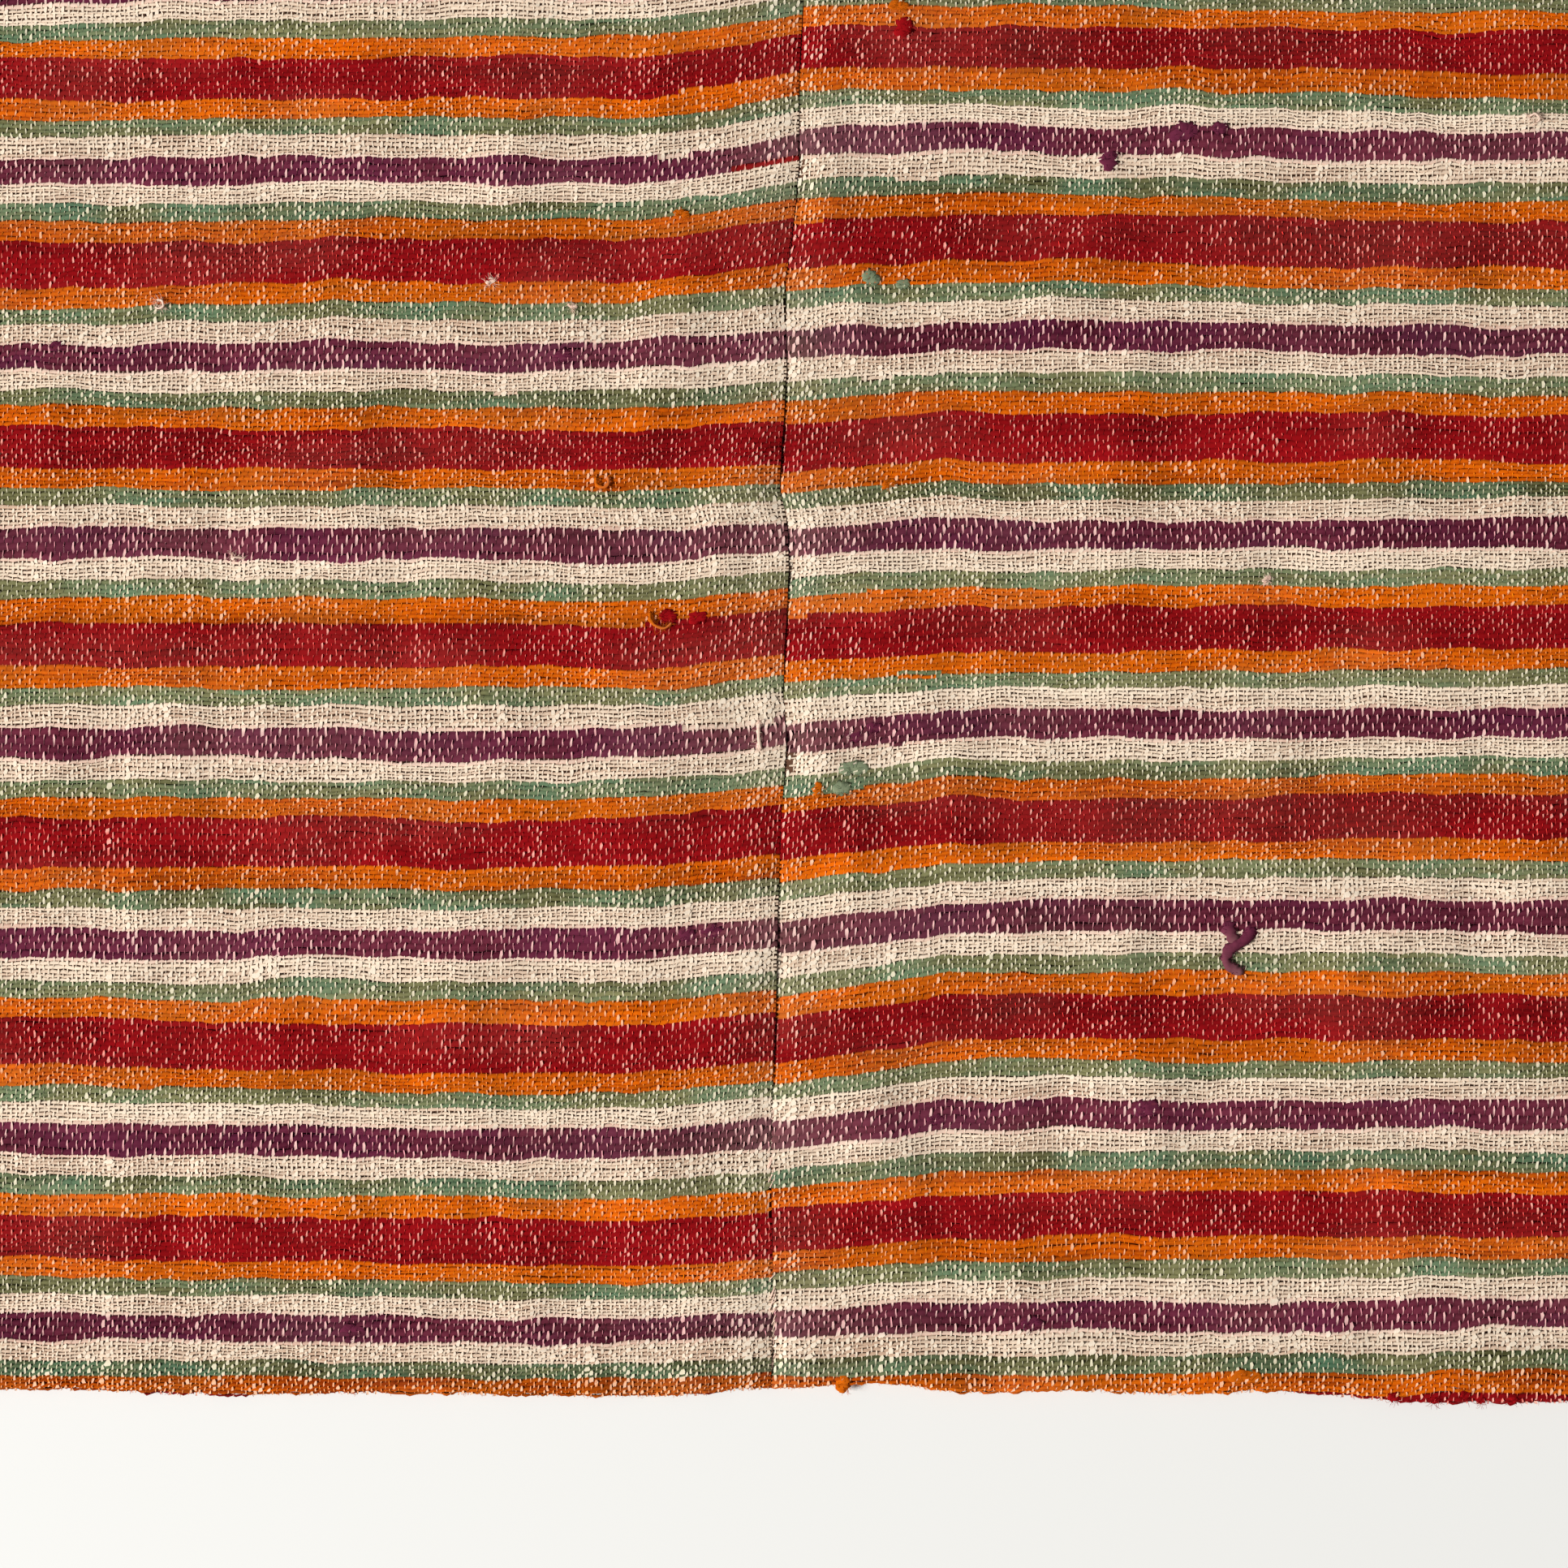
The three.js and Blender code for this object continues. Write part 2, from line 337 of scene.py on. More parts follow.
# Fine fibres: thickness and how it varies, bend, arch and shade, then numbers and lengths
FIBRE_THICK = 0.09
FIBRE_UNEVEN = (0.7, 1.3)
FIBRE_BEND = 1.4
FIBRE_ARCH = (0.1, 0.5)
FIBRE_SHADE = (0.4, 0.9)
SLUB_FIBRES = 20
THREAD_FIBRES = 5
HEM_FIBRES = 160
LOOSE_FIBRES = 700
FUZZ_LENGTH = (0.8, 2.4)
HEM_FIBRE_LENGTH = (0.5, 1.3)
LOOSE_FIBRE_LENGTH = (0.8, 2.6)

# View: the photograph's frame and its middle on the cloth
VIEW_WIDTH = 400.0
VIEW_MIDDLE_Y = -27.0
LENS = 100.0
SENSOR = 36.0

# Light and floor: places and sizes in metres, but for the drop of the floor below the cloth
WORLD_LIGHT = 0.18
KEY_LIGHT = 570.0
KEY_SIZE = 2.0
KEY_PLACE = (-4.6, -1.22, 3.75)
FLOOR_COLOUR = "#e6e5e1"
FLOOR_SIZE = 14.0
FLOOR_DROP = 0.3


def linear(hex_colour):
    """A hex colour as linear red, green, blue and alpha."""
    channels = [int(hex_colour[at:at + 2], 16) / 255 for at in (1, 3, 5)]
    return [c / 12.92 if c <= 0.04045 else ((c + 0.055) / 1.055) ** 2.4 for c in channels] + [1.0]


def smoothstep(value, low, high):
    share = np.clip((value - low) / (high - low), 0, 1)
    return share * share * (3 - 2 * share)


def bilinear(grid, row, column, eased=False):
    """Values between the points of a grid, blended straight or with an ease."""
    r, c = row.astype(int), column.astype(int)
    fr, fc = row - r, column - c
    if eased:
        fr, fc = smoothstep(fr, 0, 1), smoothstep(fc, 0, 1)
    low = grid[r, c] * (1 - fc) + grid[r, c + 1] * fc
    high = grid[r + 1, c] * (1 - fc) + grid[r + 1, c + 1] * fc
    return low * (1 - fr) + high * fr


def lattice_noise(rng, u, v):
    """Smooth noise from -1 to 1 over lattice coordinates u and v, one random value a lattice point."""
    u, v = np.broadcast_arrays(u - np.min(u), v - np.min(v))
    values = rng.uniform(-1, 1, (int(u.max()) + 2, int(v.max()) + 2))
    return bilinear(values, u, v, eased=True)


def uneven(rng, rows, pick_number, out):
    """Unevenness over the picks and along them."""
    return sum(row.size * lattice_noise(rng, pick_number / row.picks, out / row.length) for row in rows)


def smoothed(grid):
    """The grid with the facets of the solid ironed out."""
    kernel = np.array([1, 4, 6, 4, 1]) / 16
    for axis in (0, 1):
        padded = np.pad(grid, [(2, 2) if a == axis else (0, 0) for a in (0, 1)], mode="edge")
        grid = np.apply_along_axis(np.convolve, axis, padded, kernel, mode="valid")
    return grid


class Panel:
    """One panel of the frame: its seam line, its hem line, and its face and underside."""

    def __init__(self, name, side, seed):
        self.name = name
        self.side = side
        self.rng = np.random.default_rng(seed)
        self.node = f"panel_{name}"
        points, triangles = self.solid()
        self.seam_y, self.seam_x = self.rim(points, triangles, axis=0, sign=-side, along=1)
        self.hem_x, self.hem_rise = self.rim(points, triangles, axis=1, sign=-1, along=0)
        self.outer = side * abs(points[:, 0]).max()
        self.top = points[:, 1].max()
        self.seam_mean = self.seam_x.mean()
        self.face, self.under = self.surfaces(BVHTree.FromPolygons(points.tolist(), triangles.tolist()))

    def solid(self):
        """The node's points in millimetres, and its triangles."""
        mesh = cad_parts[self.node].data
        mesh.calc_loop_triangles()
        points = np.empty(len(mesh.vertices) * 3)
        mesh.vertices.foreach_get("co", points)
        triangles = np.empty(len(mesh.loop_triangles) * 3, dtype=np.int32)
        mesh.loop_triangles.foreach_get("vertices", triangles)
        return points.reshape(-1, 3) / MM, triangles.reshape(-1, 3)

    def rim(self, points, triangles, axis, sign, along):
        """The line that the rim follows on the side that looks along one axis."""
        a, b, c = (points[triangles[:, corner]] for corner in range(3))
        normals = np.cross(b - a, c - a)
        normals /= np.linalg.norm(normals, axis=1, keepdims=True)
        on_rim = triangles[(np.abs(normals[:, 2]) < 0.05) & (normals[:, axis] * sign > 0.7)]
        line = np.unique(points[np.unique(on_rim)][:, [along, axis]].round(3), axis=0)
        return line[:, 0], line[:, 1]

    def seam(self, y):
        return np.interp(y, self.seam_y, self.seam_x)

    def hem(self, x):
        return np.interp(x, self.hem_x, self.hem_rise)

    def from_seam(self, x, y):
        return self.side * (x - self.seam(y))

    def surfaces(self, tree):
        """Heights of the face and of the underside, over steps out from the seam and up from the hem."""
        outwards = np.arange(0, abs(self.outer) + 8, FACE_STEP)
        upwards = np.arange(0, self.top * 2 + 2, FACE_STEP)
        inset = 0.05
        grids = np.zeros((2, len(upwards), len(outwards)))
        for row, up in enumerate(upwards):
            for column, out in enumerate(outwards):
                seam = self.seam(up - self.top)
                x = seam + self.side * max(out, inset)
                x = self.side * min(abs(self.outer) - inset, self.side * x)
                y = min(self.hem(x) + max(up, FOLD_RADIUS), self.top - inset)
                for layer, (start, way) in enumerate(((50, -1), (-50, 1))):
                    hit = tree.ray_cast((x, y, start), (0, 0, way))[0]
                    grids[layer, row, column] = hit.z if hit else grids[layer, row, column - 1]
        pucker = 0
        for row in PUCKERS:
            noise = lattice_noise(self.rng, upwards[:, None] / row.along, outwards[None, :] / row.across)
            pucker = pucker + row.size * noise
        return smoothed(grids[0]) + PUCKER * pucker, smoothed(grids[1])

    def height(self, grid, x, up):
        out = self.from_seam(x, self.hem(x) + up)
        return bilinear(grid, *(np.clip(way / FACE_STEP, 0, size - 1.001)
                                for way, size in zip((up, out), grid.shape)))

    def place(self, x, along, rise):
        """Points of the cloth: along is the way up its face from the hem's fold, negative underneath."""
        x, along, rise = np.broadcast_arrays(x, along, rise)
        rise = np.where(along < 0, np.minimum(rise, 0), rise)
        flat = np.abs(along) > FOLD_QUARTER
        up = np.where(flat, FOLD_RADIUS + np.abs(along) - FOLD_QUARTER, FOLD_RADIUS)
        face = self.height(self.face, x, up)
        under = self.height(self.under, x, up)
        rise = np.maximum(rise, LEAST_THICK - (face - under))
        turn = np.clip(along / FOLD_RADIUS, -math.pi / 2, math.pi / 2)
        y = self.hem(x) + np.where(flat, up, FOLD_RADIUS - (FOLD_RADIUS + rise) * np.cos(turn))
        z = (face + under) / 2 + ((face - under) / 2 + rise) * np.sin(turn)
        return np.stack([x, y, z], axis=-1)

    def along_of(self, x, y):
        """The way up the face to a height y."""
        return y - self.hem(x) + FOLD_QUARTER - FOLD_RADIUS

    def on_face(self, x, y, rise):
        """Points over the face, or beyond the hem at the height of its fold."""
        x, y, rise = (np.asarray(values, dtype=float) for values in (x, y, rise))
        on_cloth = np.maximum(y, self.hem(x) + 0.3)
        points = self.place(x, self.along_of(x, on_cloth), rise)
        points[..., 1] += y - on_cloth
        return points


def pick_list(panel_name, rng):
    """Repeat coordinate and yarn of every pick from the top down, and the joins of each pick."""
    cycles, yarns, joins = [], [], []
    for repeat in range(len(RED_LINES[panel_name])):
        wander = rng.uniform(1 - SHARE_WANDER, 1 + SHARE_WANDER, len(STRIPES))
        shares = np.array([stripe.share for stripe in STRIPES]) * wander
        edges = np.concatenate([[0], np.cumsum(shares / shares.sum())]) + repeat - STRIPES[0].share / 2
        for number, stripe in enumerate(STRIPES):
            jitter = rng.uniform(-PICK_SPACING, PICK_SPACING, stripe.picks)
            places = (np.arange(stripe.picks) + 0.5 + jitter) / stripe.picks
            cycles.extend(edges[number] + places * (edges[number + 1] - edges[number]))
            yarns.extend([YARN_NAMES.index(stripe.yarn)] * stripe.picks)
            for pick in range(stripe.picks):
                joins.append([join for join in JOINS
                              if (join.panel, join.repeat, join.stripe) == (panel_name, repeat, number)
                              and join.pick % stripe.picks == pick])
    return np.array(cycles), np.array(yarns), joins


class Weave:
    """Where every end and every pick of a panel runs, and which yarn shows at each crossing."""

    def __init__(self, panel, seed):
        self.panel = panel
        self.rng = np.random.default_rng(seed)
        self.ends = self.end_places()
        self.cross(*pick_list(panel.name, self.rng))

    def end_places(self):
        """Distance of each end from the seam."""
        warp = WARPS[self.panel.name]
        limit = abs(self.panel.outer) - self.panel.side * self.panel.seam_mean - 0.4
        places = [FIRST_END]
        while places[-1] < limit:
            out = places[-1]
            pitch = warp.pitch + warp.spread * out / limit - warp.closing * math.exp(-out / warp.reach)
            places.append(out + pitch * self.rng.uniform(1 - END_JITTER, 1 + END_JITTER))
        return np.array(places[:-1])

    def end_x(self, out, y):
        """The ends sway with the seam, less and less away from it."""
        panel = self.panel
        sway = (panel.seam(y) - panel.seam_mean) * np.exp(-out / SEAM_SWAY)
        return panel.seam_mean + panel.side * out + sway

    def stripe_y(self, cycle, out):
        """Height of a repeat coordinate at a distance from the seam."""
        lines = np.array(RED_LINES[self.panel.name])
        repeats = np.arange(len(lines))
        outer, middle, seam = (np.interp(cycle, repeats, lines[:, column]) for column in range(3))
        pull = (1 - np.minimum(out / SEAM_PULL, 1)) ** WARPS[self.panel.name].bend
        return middle + (outer - middle) * smoothstep(out, *MIDDLE_TO_OUTER) + (seam - middle) * pull

    def cross(self, cycles, yarns, joins):
        """Crossings of every pick with every end, as arrays of picks by ends."""
        panel, rng = self.panel, self.rng
        out = self.ends[None, :]
        cycle = cycles[:, None]
        pick_number = np.arange(len(cycles))[:, None]
        end_number = np.arange(self.ends.size)[None, :]
        y = self.stripe_y(cycle, out)
        held = SEAM_HOLD + (1 - SEAM_HOLD) * smoothstep(out, 0, SEAM_HOLD_REACH)
        for wander in STRIPE_WANDER:
            y = y + wander.size * held * lattice_noise(rng, cycle * wander.often, out / wander.length)
        y = y + PICK_WANDER * lattice_noise(rng, pick_number * 1.0, out / PICK_WANDER_LENGTH)
        y = y + rng.normal(0, PICK_JITTER, y.shape)
        x = self.end_x(out, y) + END_SWAY * lattice_noise(rng, y / END_SWAY_LENGTH, out / END_SWAY_ACROSS)
        x = x + END_WANDER * lattice_noise(rng, y / END_WANDER_LENGTH, end_number * 1.0)
        along = panel.along_of(x, y)
        kept = (along.max(axis=1) > -FOLD_QUARTER - 0.5) & (y.min(axis=1) < panel.top)
        self.x, self.y, self.along = x[kept], y[kept], along[kept]
        self.yarn = np.repeat(yarns[kept][:, None], self.ends.size, axis=1)
        for row, pick in enumerate(np.flatnonzero(kept)):
            for join in joins[pick]:
                changed = (self.x[row] > join.start) & (self.x[row] < join.end)
                self.yarn[row, changed] = YARN_NAMES.index(join.yarn)
        self.pitch = np.abs(np.gradient(self.along, axis=0))
        self.pick_number = pick_number[kept]
        self.end_number = end_number
        self.over = (self.pick_number + end_number) % 2 == 0
        self.seam_out = panel.side * (self.x - panel.seam(self.y))
        self.open = np.exp(-self.seam_out / BARE_REACH) + np.exp(-np.maximum(self.along, 0) / BARE_REACH)

    def pick_near(self, yarn, x, y):
        """Height of the pick of one yarn that runs nearest to a place."""
        column = np.argmin(np.abs(self.x[len(self.x) // 2] - x))
        heights = self.y[self.yarn[:, column] == YARN_NAMES.index(yarn), column]
        return heights[np.argmin(np.abs(heights - y))]

    def yarn_at_seam(self, y):
        """Name of the weft yarn beside the seam at a height y."""
        return YARN_NAMES[self.yarn[np.argmin(np.abs(self.y[:, 0] - y)), 0]]

    def drift(self):
        """How far the colour drifts at each crossing: in patches, and on cream where purple stains it."""
        patches = 0.3 + uneven(self.rng, COLOUR_PATCHES, self.pick_number, self.ends[None, :])
        purple = np.pad(self.yarn == YARN_NAMES.index("purple"), ((1, 1), (0, 0)))
        beside = CREAM_STAIN * (purple[2:] | purple[:-2]) + CREAM_TINT
        return np.where(self.yarn == YARN_NAMES.index("cream"), beside, PATCH_DRIFT * patches.clip(0, 1))

    def yarn_values(self, field):
        """One field of the weft yarn at each crossing."""
        values = np.array([getattr(YARNS[name], field) for name in YARN_NAMES])
        return values[self.yarn]


def make_mesh(name, points, faces, material, attributes=(), bake=None, colours=()):
    """A smooth mesh from arrays of points in millimetres and of faces, keeping the points that are used."""
    used, faces = np.unique(faces, return_inverse=True)
    faces = faces.reshape(-1, 4)
    mesh = bpy.data.meshes.new(name)
    mesh.vertices.add(len(used))
    mesh.vertices.foreach_set("co", (points[used] * MM).astype(np.float32).ravel())
    mesh.loops.add(faces.size)
    mesh.loops.foreach_set("vertex_index", faces.astype(np.int32).ravel())
    mesh.polygons.add(len(faces))
    mesh.polygons.foreach_set("loop_start", np.arange(0, faces.size, 4, dtype=np.int32))
    mesh.update(calc_edges=True)
    mesh.polygons.foreach_set("use_smooth", np.ones(len(faces), dtype=bool))
    for label, values in attributes:
        layer = mesh.attributes.new(label, "FLOAT", "POINT")
        layer.data.foreach_set("value", values[used].astype(np.float32))
    for label, values in colours:
        layer = mesh.attributes.new(label, "FLOAT_COLOR", "POINT")
        layer.data.foreach_set("color", values[used].astype(np.float32).ravel())
    if bake is not None:
        layer = mesh.uv_layers.new(name="OFBake")
        layer.data.foreach_set("uv", bake[used][faces.ravel()].astype(np.float32).ravel())
    mesh.materials.append(material)
    piece = bpy.data.objects.new(name, mesh)
    bpy.context.collection.objects.link(piece)
    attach(piece, "root")
    return piece


class Shader:
    """A material's nodes, made and linked by short calls."""

    def __init__(self, name, roughness=0.93, specular=0.05):
        self.material = bpy.data.materials.new(name)
        self.material.use_nodes = True
        self.nodes = self.material.node_tree.nodes
        self.surface = self.nodes["Principled BSDF"]
        self.surface.inputs["Roughness"].default_value = roughness
        self.surface.inputs["Specular IOR Level"].default_value = specular

    def link(self, output, target):
        self.material.node_tree.links.new(output, target)

    def attribute(self, name, output="Fac"):
        made = self.nodes.new("ShaderNodeAttribute")
        made.attribute_name = name
        return made.outputs[output]

    def put(self, socket, value):
        if isinstance(value, bpy.types.NodeSocket):
            self.link(value, socket)
        else:
            socket.default_value = value

    def math(self, operation, *values, clamp=False):
        made = self.nodes.new("ShaderNodeMath")
        made.operation = operation
        made.use_clamp = clamp
        for socket, value in zip(made.inputs, values):
            self.put(socket, value)
        return made.outputs[0]

    def mix(self, share, first, second):
        made = self.nodes.new("ShaderNodeMix")
        made.data_type = "RGBA"
        for socket, value in ((made.inputs[0], share), (made.inputs[6], first), (made.inputs[7], second)):
            self.put(socket, value)
        return made.outputs[2]

    def fibres(self, grain):
        """Fine strands, drawn out along the run of the yarn."""
        place = self.nodes.new("ShaderNodeTexCoord")
        stretch = self.nodes.new("ShaderNodeMapping")
        stretch.inputs["Scale"].default_value = grain
        noise = self.nodes.new("ShaderNodeTexNoise")
        noise.inputs["Scale"].default_value = 1.0
        noise.inputs["Detail"].default_value = 3.0
        noise.inputs["Roughness"].default_value = 0.6
        self.link(place.outputs["Object"], stretch.inputs["Vector"])
        self.link(stretch.outputs["Vector"], noise.inputs["Vector"])
        return noise.outputs["Fac"]

    def finish(self, colour, height, strength=0.5, distance=0.00012):
        bump = self.nodes.new("ShaderNodeBump")
        bump.inputs["Strength"].default_value = strength
        bump.inputs["Distance"].default_value = distance
        self.link(height, bump.inputs["Height"])
        self.link(bump.outputs["Normal"], self.surface.inputs["Normal"])
        self.link(colour, self.surface.inputs["Base Color"])
        return self.material


def wool(name, deep, bright, grain, drift=None):
    """Wool yarn: darker and lighter strands along its run and by its shade, which on the weft also holds
    painted shade, paler where worn, tinted where stained.
    """
    shader = Shader(name)
    fibres = shader.fibres(grain)
    tone = shader.math("MULTIPLY_ADD", fibres, 0.9, -0.45)
    tone = shader.math("ADD", tone, shader.attribute("shade"), clamp=True)
    colour = shader.mix(tone, linear(deep), linear(bright))
    if drift:
        colour = shader.mix(shader.attribute("drift"), colour, linear(drift))
        colour = shader.mix(shader.attribute("wear"), colour, linear(WORN))
    else:
        colour = shader.mix(shader.attribute("stain"), colour, shader.attribute("stripe", "Color"))
    return shader.finish(colour, fibres)


def ground_wool():
    """The cloth under the floats: painted dark between the yarns as their shade, and the weave's dashes on
    its back.
    """
    shader = Shader("ground_wool")
    fibres = shader.fibres(WEFT_GRAIN)
    over = shader.math("MULTIPLY", shader.math("SINE", shader.attribute("end")),
                       shader.math("SINE", shader.attribute("pick")))
    dash = shader.math("MULTIPLY_ADD", over, 3.0, -0.9, clamp=True)
    dash = shader.math("MULTIPLY", dash, shader.attribute("back"))
    tone = shader.math("MULTIPLY_ADD", fibres, 0.7, -0.2, clamp=True)
    stripe = shader.mix(tone, shader.attribute("stripe", "Color"), linear(DARKEST))
    colour = shader.mix(dash, stripe, linear(WARP_COLOURS[0]))
    return shader.finish(colour, fibres)


WEFT_WOOL = {name: wool(f"{name}_wool", yarn.deep, yarn.bright, WEFT_GRAIN, yarn.drift)
             for name, yarn in YARNS.items()}
WARP_WOOL = wool("warp_wool", *WARP_COLOURS, WARP_GRAIN)
GROUND_WOOL = ground_wool()


def yarn_colours(numbers, field):
    """One colour of each yarn as rows of red, green, blue and alpha."""
    return np.array([linear(getattr(YARNS[name], field)) for name in YARN_NAMES])[numbers]


def spread(values, points):
    """Values of the crossings, repeated for every point across a yarn."""
    return np.broadcast_to(values[..., None], points.shape[:-1]).ravel()


def weft_pieces(weave):
    """Every pick as a rounded ribbon that dips under alternate ends, one piece for each yarn."""
    panel, rng = weave.panel, weave.rng
    picks = weave.x.shape[0]
    out, pick_number = weave.ends[None, :], weave.pick_number * 1.0
    thickness = 1 + uneven(rng, WEFT_THICKNESS, pick_number, out)
    half = 0.5 * weave.yarn_values("cover") * weave.pitch * thickness
    crown = np.where(weave.over, weave.yarn_values("over"), weave.yarn_values("under"))
    crown = crown + uneven(rng, WEFT_CROWN, pick_number, out)
    at_fold = np.exp(-(weave.along / HEM_LUMP_REACH) ** 2)
    crown = crown + HEM_LUMP * at_fold * uneven(rng, FOLD_LUMPS, pick_number, out)
    shade = 0.5 + PICK_SHADE * rng.uniform(-1, 1, (picks, 1))
    shade = shade + uneven(rng, WEFT_SHADE, pick_number, out)
    # Painted light over the warp and painted shade under it
    shade = shade + np.where(weave.over, CROSSING_PAINTED_SHADE, -CROSSING_PAINTED_SHADE)
    # The colour is darker in a band just above the hem's fold, in patches
    darkening = 0.7 + uneven(rng, HEM_DARKER_PATCHES, pick_number, out)
    shade = shade - HEM_DARKER * darkening * np.exp(-((weave.along - HEM_DARKER_PLACE) / HEM_DARKER_REACH) ** 2)
    wear = weave.yarn_values("fade") * np.exp(-weave.seam_out / FADE_REACH)
    wear = wear + uneven(rng, WEFT_WEAR, pick_number, out)

    def with_edges(values, turn=None, cut=None):
        """Adds the turn at the selvedge and the cut end to an array of crossings."""
        turn = values[:, :1] if turn is None else turn
        cut = values[:, -1:] if cut is None else cut
        return np.concatenate([turn, values, cut], axis=1)

    groove = np.interp(weave.y[:, :1], [row.y for row in GROOVE], [row.short for row in GROOVE])
    groove = groove + GROOVE_WANDER * lattice_noise(rng, pick_number / 4, out[:, :1])
    groove = (groove + rng.uniform(-GROOVE_JITTER, GROOVE_JITTER, (picks, 1))).clip(-SEAM_GAP / 2, 0)
    x = with_edges(weave.x, panel.seam(weave.y[:, :1]) + panel.side * groove,
                   panel.outer + rng.uniform(*CUT_REACH, (picks, 1)) * panel.side)
    along = with_edges(weave.along)
    half = with_edges(half, half[:, :1] * SELVEDGE_WIDTH)
    crown = with_edges(crown, np.full((picks, 1), SELVEDGE_CROWN))
    shade, wear, drift, yarn = (with_edges(values) for values in (shade, wear, weave.drift(), weave.yarn))
    fall = with_edges(weave.yarn_values("fall") * np.where(weave.over, 1, UNDER_FALL))
    across = np.array([-1.0, 0.0, 1.0])
    points = panel.place(x[..., None], along[..., None] + half[..., None] * across,
                         crown[..., None] - fall[..., None] * np.abs(across))
    index = np.arange(points[..., 0].size).reshape(points.shape[:-1])
    inside = (panel.hem(x) + along - FOLD_QUARTER + FOLD_RADIUS < panel.top)[:, :-1]
    quads = np.stack([index[:, :-1, :-1], index[:, 1:, :-1], index[:, 1:, 1:], index[:, :-1, 1:]], axis=-1)
    if panel.side < 0:
        quads = quads[..., ::-1]
    reach = np.abs(x[..., None] - panel.seam_mean) / (abs(panel.outer) + 10)
    reach = np.broadcast_to(reach, points.shape[:-1])
    # Painted shade towards the yarn's edges and painted light on its crown
    shade = (shade[..., None] + EDGE_PAINTED_SHADE * (0.5 - np.abs(across))).ravel()
    attributes = [("shade", shade), ("wear", spread(wear, points)), ("drift", spread(drift, points))]
    rank = np.zeros((picks, 1, 1))
    pieces = []
    for number, name in enumerate(YARN_NAMES):
        cells = inside & (yarn[:, :-1] == number)
        holders = np.flatnonzero(cells.any(axis=1))
        rank[holders, 0, 0] = np.arange(holders.size)
        strip = np.broadcast_to((rank + 0.5 + 0.45 * across) / holders.size, points.shape[:-1])
        bake = np.stack([reach, strip], axis=-1).reshape(-1, 2)
        pieces.append(make_mesh(f"weft_{name}_{panel.name}", points.reshape(-1, 3),
                                quads[cells].reshape(-1, 4), WEFT_WOOL[name], attributes, bake))
    return pieces


def warp_piece(weave):
    """Every end as a ribbon that comes up over alternate picks."""
    panel, rng = weave.panel, weave.rng
    picks, ends = weave.x.shape
    out, end_number = weave.ends[None, :], weave.end_number * 1.0
    ease = lattice_noise(rng, weave.y / 9, out / 8)
    slub = lattice_noise(rng, weave.y / 12, end_number)
    stout = np.exp(rng.normal(0, WARP_STOUT, (1, ends)))
    each = rng.normal(0, 1, (picks, ends)).clip(*WARP_EACH)
    bare = np.minimum(weave.open, 1)

    def differing(dash):
        return dash.patch * ease + dash.slub * slub + dash.each * each + dash.bare * bare

    width = weave.yarn_values("warp") * stout * np.exp(differing(DASH_WIDTH))
    width = np.where(weave.over, width * WARP_TAPER, width)
    crown = np.where(weave.over, WARP_UNDER, weave.yarn_values("over") + differing(DASH_RISE))
    shade = WARP_SHADE + END_SHADE * rng.uniform(-1, 1, (1, ends)) + differing(DASH_SHADE)
    stain = (WARP_STAIN * np.exp(differing(DASH_STAIN)) * (1 - SEAM_BARE * bare)).clip(0, 1)
    across = np.array([-0.5, 0.5])
    lean = 2 * WARP_LEAN * weave.pitch[..., None] * across
    points = panel.place(weave.x[..., None] + width[..., None] * across, weave.along[..., None] + lean,
                         crown[..., None])
    index = np.arange(points[..., 0].size).reshape(points.shape[:-1])
    inside = weave.y[:-1] < panel.top
    quads = np.stack([index[:-1, :, 0], index[1:, :, 0], index[1:, :, 1], index[:-1, :, 1]], axis=-1)
    bake_u = np.broadcast_to((end_number[..., None] + 0.5 + 0.8 * across) / ends, points.shape[:-1])
    bake_v = np.broadcast_to((weave.y[..., None] + panel.top + 5) / (2 * panel.top + 10), points.shape[:-1])
    bake = np.stack([bake_u, bake_v], axis=-1).reshape(-1, 2)
    stripe = np.repeat(yarn_colours(weave.yarn, "stain").reshape(-1, 4), 2, axis=0)
    return make_mesh(f"warp_{panel.name}", points.reshape(-1, 3), quads[inside].reshape(-1, 4), WARP_WOOL,
                     [("shade", spread(shade, points)), ("stain", spread(stain, points))], bake,
                     [("stripe", stripe)])


